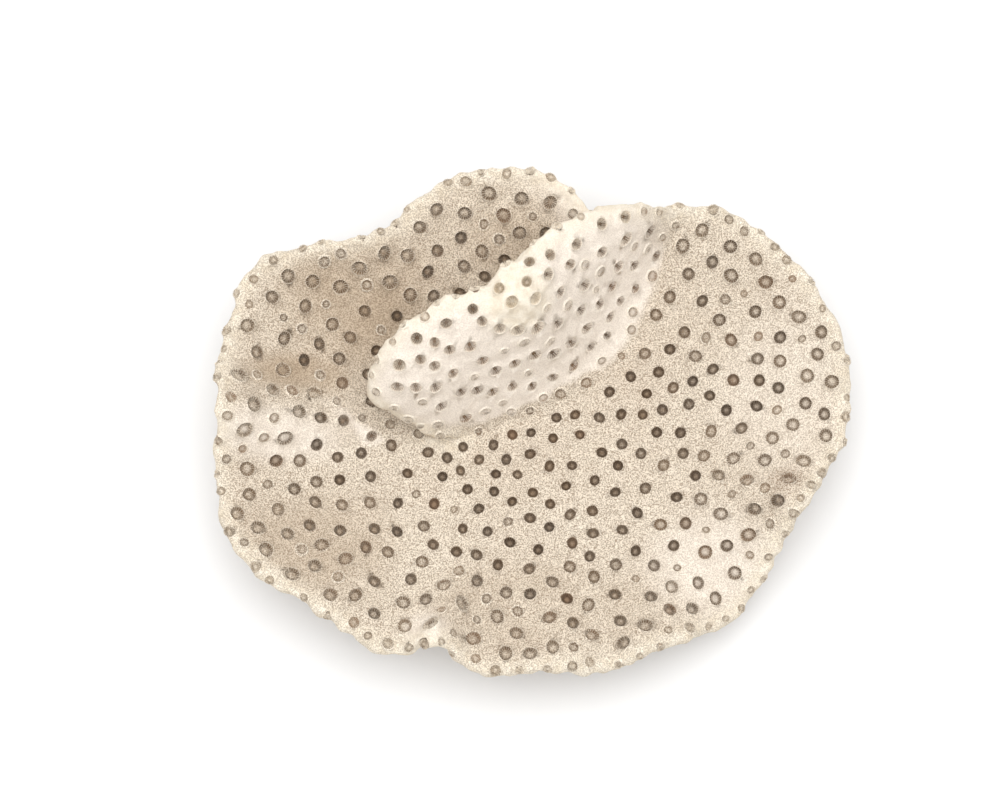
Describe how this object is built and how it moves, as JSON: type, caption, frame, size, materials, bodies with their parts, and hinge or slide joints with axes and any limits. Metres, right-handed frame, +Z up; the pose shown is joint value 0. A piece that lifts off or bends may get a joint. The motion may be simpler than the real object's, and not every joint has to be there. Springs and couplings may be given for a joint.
{
  "type": "mushroom coral",
  "caption": "Bleached coral skeleton: a thin wavy plate, pitted all over its upper face, with one fold that curls up and leans over; its stalk is cut flat so that it stands.",
  "frame": {"origin": "middle of the coral's box, on the flat cut that it stands on", "axes": "+X to the right and +Y away from the viewer as the coral lies in the picture, +Z up from the cut"},
  "size_m": [0.1734, 0.139, 0.0578],
  "materials": {
    "coral_limestone": "matt, finely granular"
  },
  "bodies": {
    "root": {"coral": "coral_limestone"}
  },
  "joints": []
}
